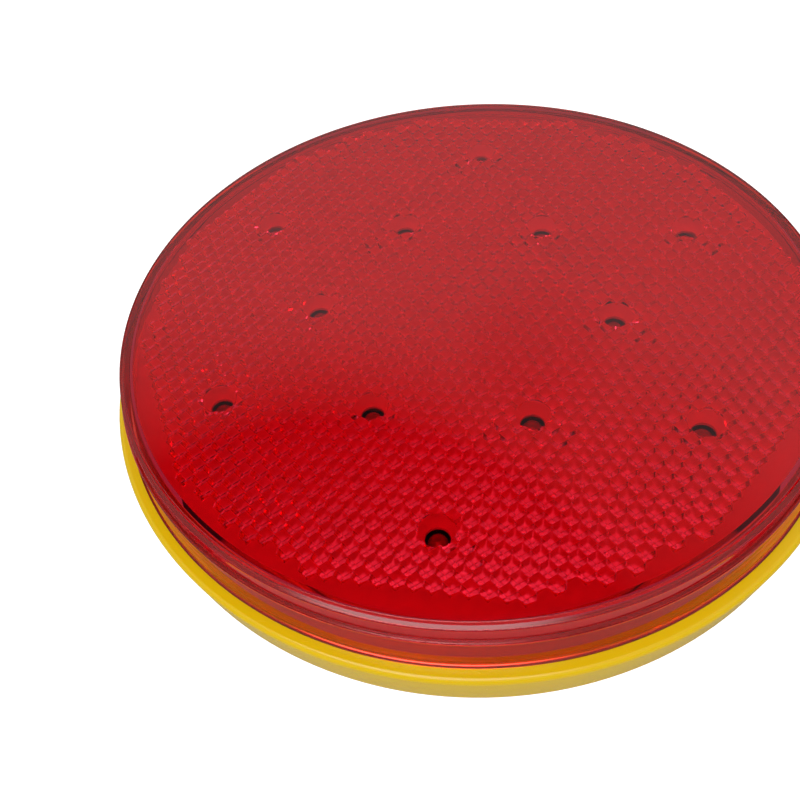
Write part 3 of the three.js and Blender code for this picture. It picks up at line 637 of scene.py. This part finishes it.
REFLECTOR_TOP = 23.2
REFLECTOR_FACE = 22.4
SKIRT_FOOT = 14.9
reflector_outline = [
    (0, REFLECTOR_FACE), (74.3, REFLECTOR_FACE), (74.3, SKIRT_FOOT), (75.5, SKIRT_FOOT),
    (75.5, REFLECTOR_FACE), (87.5, REFLECTOR_FACE), (87.5, REFLECTOR_TOP), (0, REFLECTOR_TOP),
]
white_reflector, shader = moulded("white_reflector", (0.95, 0.95, 0.93), (0.93, 0.93, 0.90), 0.45)
holes = [cylinder("led_hole", place, 2.9, 20, 25) for place in star]
plate = carved(turned("reflector_disc", reflector_outline), holes)
fitted("reflector_disc", plate, white_reflector, "reflector_plate")


# ---- Battery bay ----
# Three cells lie side by side under the ceiling of the well. Plated leaves and cone springs join
# them in a row, and two short leads run from the end contacts over to the board.


def sleeve(name, turned_round):
    """A printed cell sleeve: dark round the body, copper towards the plus end, bare at both ends."""
    material, tree, shader = principled(name)
    where = tree.nodes.new("ShaderNodeTexCoord")
    split = tree.nodes.new("ShaderNodeSeparateXYZ")
    tree.links.new(where.outputs["Generated"], split.inputs[0])
    bands = tree.nodes.new("ShaderNodeValToRGB")
    bands.color_ramp.interpolation = "CONSTANT"
    steel, dark, copper = (0.6, 0.6, 0.58, 1), (0.018, 0.022, 0.028, 1), (0.55, 0.24, 0.09, 1)
    stops = [(0.0, steel), (0.05, copper), (0.30, dark), (0.97, steel)]
    if turned_round:
        stops = [(0.0, steel), (0.03, dark), (0.70, copper), (0.95, steel)]
    ramp = bands.color_ramp.elements
    while len(ramp) < 4:
        ramp.new(0.5)
    for element, (position, colour) in zip(ramp, stops):
        element.position = position
    for element, (position, colour) in zip(ramp, stops):
        element.color = colour
    tree.links.new(split.outputs["X"], bands.inputs["Fac"])
    tree.links.new(bands.outputs["Color"], shader.inputs["Base Color"])
    marks = tree.nodes.new("ShaderNodeGroup")
    marks.node_tree = handling_marks
    marks.inputs["Scale"].default_value = 200
    gloss = tree.nodes.new("ShaderNodeMapRange")
    gloss.inputs["To Min"].default_value = 0.22
    gloss.inputs["To Max"].default_value = 0.45
    tree.links.new(marks.outputs["Scuffs"], gloss.inputs["Value"])
    tree.links.new(gloss.outputs["Result"], shader.inputs["Roughness"])
    skin = tree.nodes.new("ShaderNodeBump")
    skin.inputs["Strength"].default_value = 0.15
    skin.inputs["Distance"].default_value = 0.00005
    tree.links.new(marks.outputs["Drift"], skin.inputs["Height"])
    tree.links.new(skin.outputs["Normal"], shader.inputs["Normal"])
    return material


finish(["battery_cell_1", "battery_cell_3"], sleeve("cell_sleeve", False), 24)
finish(["battery_cell_2"], sleeve("cell_sleeve_turned", True), 24)
nickel_plate = metal("nickel_plate", (0.70, 0.68, 0.62), (0.58, 0.56, 0.50), 0.22)
finish(
    ["contact_plus_end", "contact_link_left", "contact_link_right", "contact_minus_end"]
    + [f"contact_spring_{i}" for i in range(1, 4)],
    nickel_plate, 50,
)
red_insulation, shader = moulded("red_insulation", (0.55, 0.015, 0.012), (0.42, 0.012, 0.01), 0.4)
finish(["battery_lead_plus"], red_insulation, 60)
black_insulation, shader = moulded(
    "black_insulation", (0.02, 0.02, 0.02), (0.035, 0.035, 0.035), 0.4,
)
finish(["battery_lead_minus"], black_insulation, 60)


# ---- Battery door ----
# A flat lid in the same yellow plastic, hinged on a steel pin along one edge. A tab at the other
# edge takes a captive coin screw, and a rubber gasket inside seals the bay.

door_parts = [
    block((-DOOR_HALF_X, DOOR_HALF_X), (HINGE_Y + 1, DOOR_END_Y), (PAN_BOTTOM, DOOR_TOP), 1.8, 0.35),
    block((-30.8, 30.8), (HINGE_Y, HINGE_Y + 2.6), (1.7, DOOR_TOP)),
    block((-7, 7), (24, 36), (PAN_BOTTOM, 6), 1.4, 0.35),
]
hinge_line = (
    Matrix.Translation((0, HINGE_Y * MM, HINGE_Z * MM)) @ Matrix.Rotation(math.radians(90), 4, "Y")
)
barrel = cylinder("barrel", (0, 0), 2.1, -30.8, 30.8)
barrel.transform(hinge_line)
ribs = [block((x - 0.8, x + 0.8), (-20, 20), (3.2, 3.75)) for x in (-12, 12)]
pin_bore = cylinder("pin_bore", (0, 0), 1.1, -32, 32, 24)
pin_bore.transform(hinge_line)
door_mesh = carved(door_parts[0], [*door_parts[1:], barrel, *ribs], "UNION")
door_mesh = carved(door_mesh, [
    cylinder("counterbore", (0, TAB_Y), 4.8, 0, 3.2),
    cylinder("bore", (0, TAB_Y), 1.8, 0, 7, 24),
    pin_bore,
    *(block((-16, 16), (y - 0.5, y + 0.5), (0, 1.55), 0.45) for y in (14, 16.4, 18.8, 21.2)),
])
door_mesh.name = "battery_door_lid"
fitted(
    "battery_door_lid", door_mesh, yellow_plastic, "battery_door", "battery_door", 28,
)

gasket_rubber, shader = moulded(
    "gasket_rubber", (0.62, 0.60, 0.56), (0.54, 0.52, 0.48), 0.6, 0.1, 0.2,
)
finish(["door_gasket", "lens_gasket"], gasket_rubber)
finish(["door_hinge_pin"], stainless_steel)

screw_outline = (
    [(0, 1.4)]
    + arc(3.9, 1.9, 0.5, -90, 0, 4)
    + [(4.4, 3.0), (1.5, 3.0), (1.5, 10.4), (1.1, 10.8), (0, 10.8)]
)
coin_screw = carved(
    moved(turned("coin_screw", screw_outline, 72), 0, TAB_Y),
    [block((-3.6, 3.6), (TAB_Y - 0.6, TAB_Y + 0.6), (0, 2.3), 0.55)],
)
fitted("coin_screw", coin_screw, stainless_steel, "door_screw", "battery_door")


# ---- Hanging bail ----
# One bent stainless wire. Its ends turn outwards and pivot in two black clips, and it folds flat
# into a channel in the pan's underside.

WIRE_RADIUS = 2.0
WIRE_END_X = 51.0
CROWN_BEND = 14.0
EYE_BEND = 2.6


def swept_wire(name, corners, bends, radius, sides=24):
    """A round wire laid flat through its corners, each bent to its own radius, with domed ends."""
    path = [Vector(corners[0])]
    for before, corner, after, bend in zip(corners, corners[1:], corners[2:], bends):
        corner = Vector(corner)
        back, on = (Vector(before) - corner).normalized(), (Vector(after) - corner).normalized()
        setback = bend / math.tan(back.angle(on) / 2)
        centre = corner + (back + on).normalized() * (bend / math.sin(back.angle(on) / 2))
        start, stop = corner + back * setback - centre, corner + on * setback - centre
        for i in range(13):
            mix = start.lerp(stop, i / 12).normalized()
            turn = start.angle(stop) * i / 12
            side = (stop - start * start.dot(stop) / start.length_squared).normalized() * bend
            path.append(centre + start * math.cos(turn) + side * math.sin(turn))
    path.append(Vector(corners[-1]))
    stations = [(point, 1.0) for point in path]
    first, last = (path[1] - path[0]).normalized(), (path[-1] - path[-2]).normalized()
    domes = [(0.0, 0.0), (0.13, 0.5), (0.5, 0.87)]
    dome = radius * 0.6
    stations = (
        [(path[0] + first * dome * depth, width) for depth, width in domes]
        + [(path[0] + first * dome, 1.0)]
        + stations[1:-1]
        + [(path[-1] - last * dome, 1.0)]
        + [(path[-1] - last * dome * depth, width) for depth, width in domes[::-1]]
    )
    bm = bmesh.new()
    rings = []
    for i, (point, width) in enumerate(stations):
        before, after = stations[max(i - 1, 0)][0], stations[min(i + 1, len(stations) - 1)][0]
        along = (after - before).normalized()
        beside = Vector((-along.y, along.x))
        ring = []
        for k in range(sides):
            turn = 2 * math.pi * k / sides
            out = beside * math.cos(turn) * radius * width
            place = point + out
            ring.append(bm.verts.new((
                place.x * MM, place.y * MM, (BAIL_Z + math.sin(turn) * radius * width) * MM,
            )))
        rings.append(ring)
    for low, high in zip(rings, rings[1:]):
        for k in range(sides):
            j = (k + 1) % sides
            bm.faces.new((low[k], low[j], high[j], high[k]))
    bmesh.ops.remove_doubles(bm, verts=bm.verts, dist=1e-7)
    bmesh.ops.recalc_face_normals(bm, faces=bm.faces)
    mesh = bpy.data.meshes.new(name)
    bm.to_mesh(mesh)
    bm.free()
    return mesh


wire_corners = [
    (WIRE_END_X, BAIL_PIVOT_Y), (BAIL_HALF_X, BAIL_PIVOT_Y), (BAIL_HALF_X, BAIL_CROWN_Y),
    (-BAIL_HALF_X, BAIL_CROWN_Y), (-BAIL_HALF_X, BAIL_PIVOT_Y), (-WIRE_END_X, BAIL_PIVOT_Y),
]
wire_bends = (EYE_BEND, CROWN_BEND, CROWN_BEND, EYE_BEND)
bail_wire = swept_wire("bail_wire", wire_corners, wire_bends, WIRE_RADIUS)
fitted("bail_wire", bail_wire, stainless_steel, "hanging_bail", "bail", 60)
finish(["bail_clip_left", "bail_clip_right"], black_plastic)


# ---- Case screws and feet ----
# Six stainless screws with crossed heads come up from below to draw the lens down on its gasket.
# Four soft rubber feet are glued into shallow pockets between them.

head_outline = [
    (0, 2.4), (1.6, 2.45), (2.5, 2.9), (2.9, 3.5), (2.9, 4.4),
    (1.5, 4.4), (1.5, 21.6), (1.0, 22.1), (0, 22.1),
]
for k, (x, y) in enumerate(screw_places):
    crossed = [
        block((-1.7, 1.7), (-0.32, 0.32), (2, 3.4)),
        block((-0.32, 0.32), (-1.7, 1.7), (2, 3.4)),
    ]
    screw = carved(turned(f"lens_screw_{k + 1}", head_outline, 48), crossed)
    moved(screw, x, y, 0, 17 * k)
    fitted(screw.name, screw, stainless_steel, f"case_screw_{k + 1}")

foot_rubber, shader = moulded(
    "foot_rubber", (0.03, 0.03, 0.032), (0.05, 0.05, 0.052), 0.7, 0.1, 0.25,
)
foot_outline = (
    [(0, 0.25), (4.6, 0.25), (5.0, 0.0)] + arc(6.3, 0.7, 0.7, -90, 0, 5) + [(7.0, 2.2), (0, 2.2)]
)
for k, (x, y) in enumerate(foot_places):
    pad = moved(turned(f"foot_pad_{k + 1}", foot_outline, 64), x, y)
    fitted(pad.name, pad, foot_rubber, f"rubber_foot_{k + 1}")


# ---- Lens ----
# One moulding in clear red plastic: a flat polished top with a stepped edge and a skirt down to
# the rim. Cube-corner prisms fill its underside, with a smooth round window over each LED.

PRISM_PITCH = 3.84
PRISM_TURN = -2.4
PRISM_FIELD = 85.0
PRISM_ROOT = 28.5
EDGE_FLAT = 0.11
SKIRT_STEP = 23.4
WINDOW_RADIUS = 4.2
WINDOW_FACE = 26.8
FLAT_INSIDE = 86.8
LENS_TOP = 30.5


def lens_mesh():
    """The turned outside, the flat inside ring and the prisms, joined into one closed skin."""
    bm = bmesh.new()
    drop = PRISM_PITCH / math.sqrt(6)
    along = [Vector(on_circle(1.0, PRISM_TURN + a)) * PRISM_PITCH for a in (0, 60)]
    known = {}

    def point(i, j, level):
        """A grid point in thirds of a cell, so that neighbouring prisms share their corners."""
        if (i, j, level) not in known:
            place = (along[0] * i + along[1] * j) / 3
            height = PRISM_ROOT - level * drop
            known[i, j, level] = bm.verts.new((place.x * MM, place.y * MM, height * MM))
        return known[i, j, level]

    reach = int(PRISM_FIELD / PRISM_PITCH * 1.3)
    for i in range(-reach, reach + 1):
        for j in range(-reach, reach + 1):
            middle = along[0] * i + along[1] * j
            if middle.length > PRISM_FIELD - PRISM_PITCH / 2:
                continue
            corners = ((1, 1), (-1, 2), (-2, 1), (-1, -1), (1, -2), (2, -1))
            rim = [point(3 * i + di, 3 * j + dj, (k + 1) % 2) for k, (di, dj) in enumerate(corners)]
            tip = point(3 * i, 3 * j, 2)
            for k in (0, 2, 4):
                bm.faces.new((tip, rim[(k + 2) % 6], rim[k + 1], rim[k]))

    # A small wall from each open edge of the field up to the flat ring.
    keys = {v: key for key, v in known.items()}
    open_edges = [e for e in bm.edges if len(e.link_faces) == 1]
    border = []
    for edge in open_edges:
        low, high = sorted(edge.verts, key=lambda v: v.co.z)
        above = point(*keys[low][:2], 0)
        face = edge.link_faces[0]
        loop = next(l for l in face.loops if l.edge == edge)
        first, second = loop.vert, loop.link_loop_next.vert
        bm.faces.new((second, first, above))
        border.append((above, high))

    outline = (
        [(FLAT_INSIDE, PRISM_ROOT), (87.6, 27.6), (88.0, 26.3), (88.4, 22.6), (89.0, 15.3)]
        + [(89.3, 15.12), (91.3, 15.12), (91.35, 15.02), (91.95, 15.02)]
        + [(91.95, 15.25), (91.6, 15.5), (90.65, 23.5), (90.75, 23.8)]
        + arc(90.75, 24.6, 0.6, -60, 70, 6)
        + [(90.5, 25.6), (90.42, 26.4), (90.36, 28.6)]
        + arc(89.95, 29.0, 0.45, 5, 60, 4)
        + [(89.3, 29.75)]
        + arc(88.75, 30.05, 0.45, 35, 90, 4)
        + [(86.0, LENS_TOP)]
    )
    steps = 288
    rings = []
    for r, z in outline:
        ring = []
        for i in range(steps):
            turn = 2 * math.pi * i / steps
            ring.append(bm.verts.new((r * MM * math.cos(turn), r * MM * math.sin(turn), z * MM)))
        rings.append(ring)
    for low, high in zip(rings, rings[1:]):
        for i in range(steps):
            j = (i + 1) % steps
            bm.faces.new((low[i], low[j], high[j], high[i]))
    bm.faces.new(rings[-1])

    # The flat ring between the prisms and the skirt, then a narrow flat along each prism edge.
    inner = rings[0]
    edges = [bm.edges.get(pair) for pair in border]
    edges += [bm.edges.get((inner[i], inner[(i + 1) % steps])) for i in range(steps)]
    bmesh.ops.triangle_fill(
        bm, use_beauty=True, use_dissolve=False, edges=[e for e in edges if e], normal=(0, 0, -1),
    )
    facets = [e for e in bm.edges if all(v in keys for v in e.verts) and len(e.link_faces) == 2]
    bmesh.ops.bevel(
        bm, geom=facets, offset=EDGE_FLAT * MM, segments=1, affect="EDGES", clamp_overlap=True,
    )
    bmesh.ops.recalc_face_normals(bm, faces=bm.faces)
    mesh = bpy.data.meshes.new("prism_lens")
    bm.to_mesh(mesh)
    bm.free()
    return mesh


windows = [cylinder("window", place, WINDOW_RADIUS, WINDOW_FACE - 0.1, 29.5) for place in star]
pockets = [cylinder("pocket", place, WINDOW_RADIUS + 0.05, 20, WINDOW_FACE) for place in star]
lens_skin = carved(carved(lens_mesh(), windows, "UNION"), pockets)
lens = new_piece("prism_lens", smoothed(lens_skin, 12))


def clear_plastic(name, colour):
    """Clear plastic that tints the light going through it."""
    material, tree, shader = principled(name)
    shader.inputs["Base Color"].default_value = (*colour, 1)
    shader.inputs["Roughness"].default_value = 0.0
    shader.inputs["IOR"].default_value = 1.49
    shader.inputs["Transmission Weight"].default_value = 1.0
    return material


lens.data.materials.clear()
lens.data.materials.append(clear_plastic("red_lens", (0.995, 0.03, 0.075)))
# The skirt's faces below SKIRT_STEP take a second, more orange tint: painted show-through of the
# yellow rim behind the red plastic.
lens.data.materials.append(clear_plastic("red_lens_painted_show_through", (0.99, 0.11, 0.02)))
for face in lens.data.polygons:
    if face.center.z < SKIRT_STEP * MM:
        face.material_index = 1
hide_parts("lens")
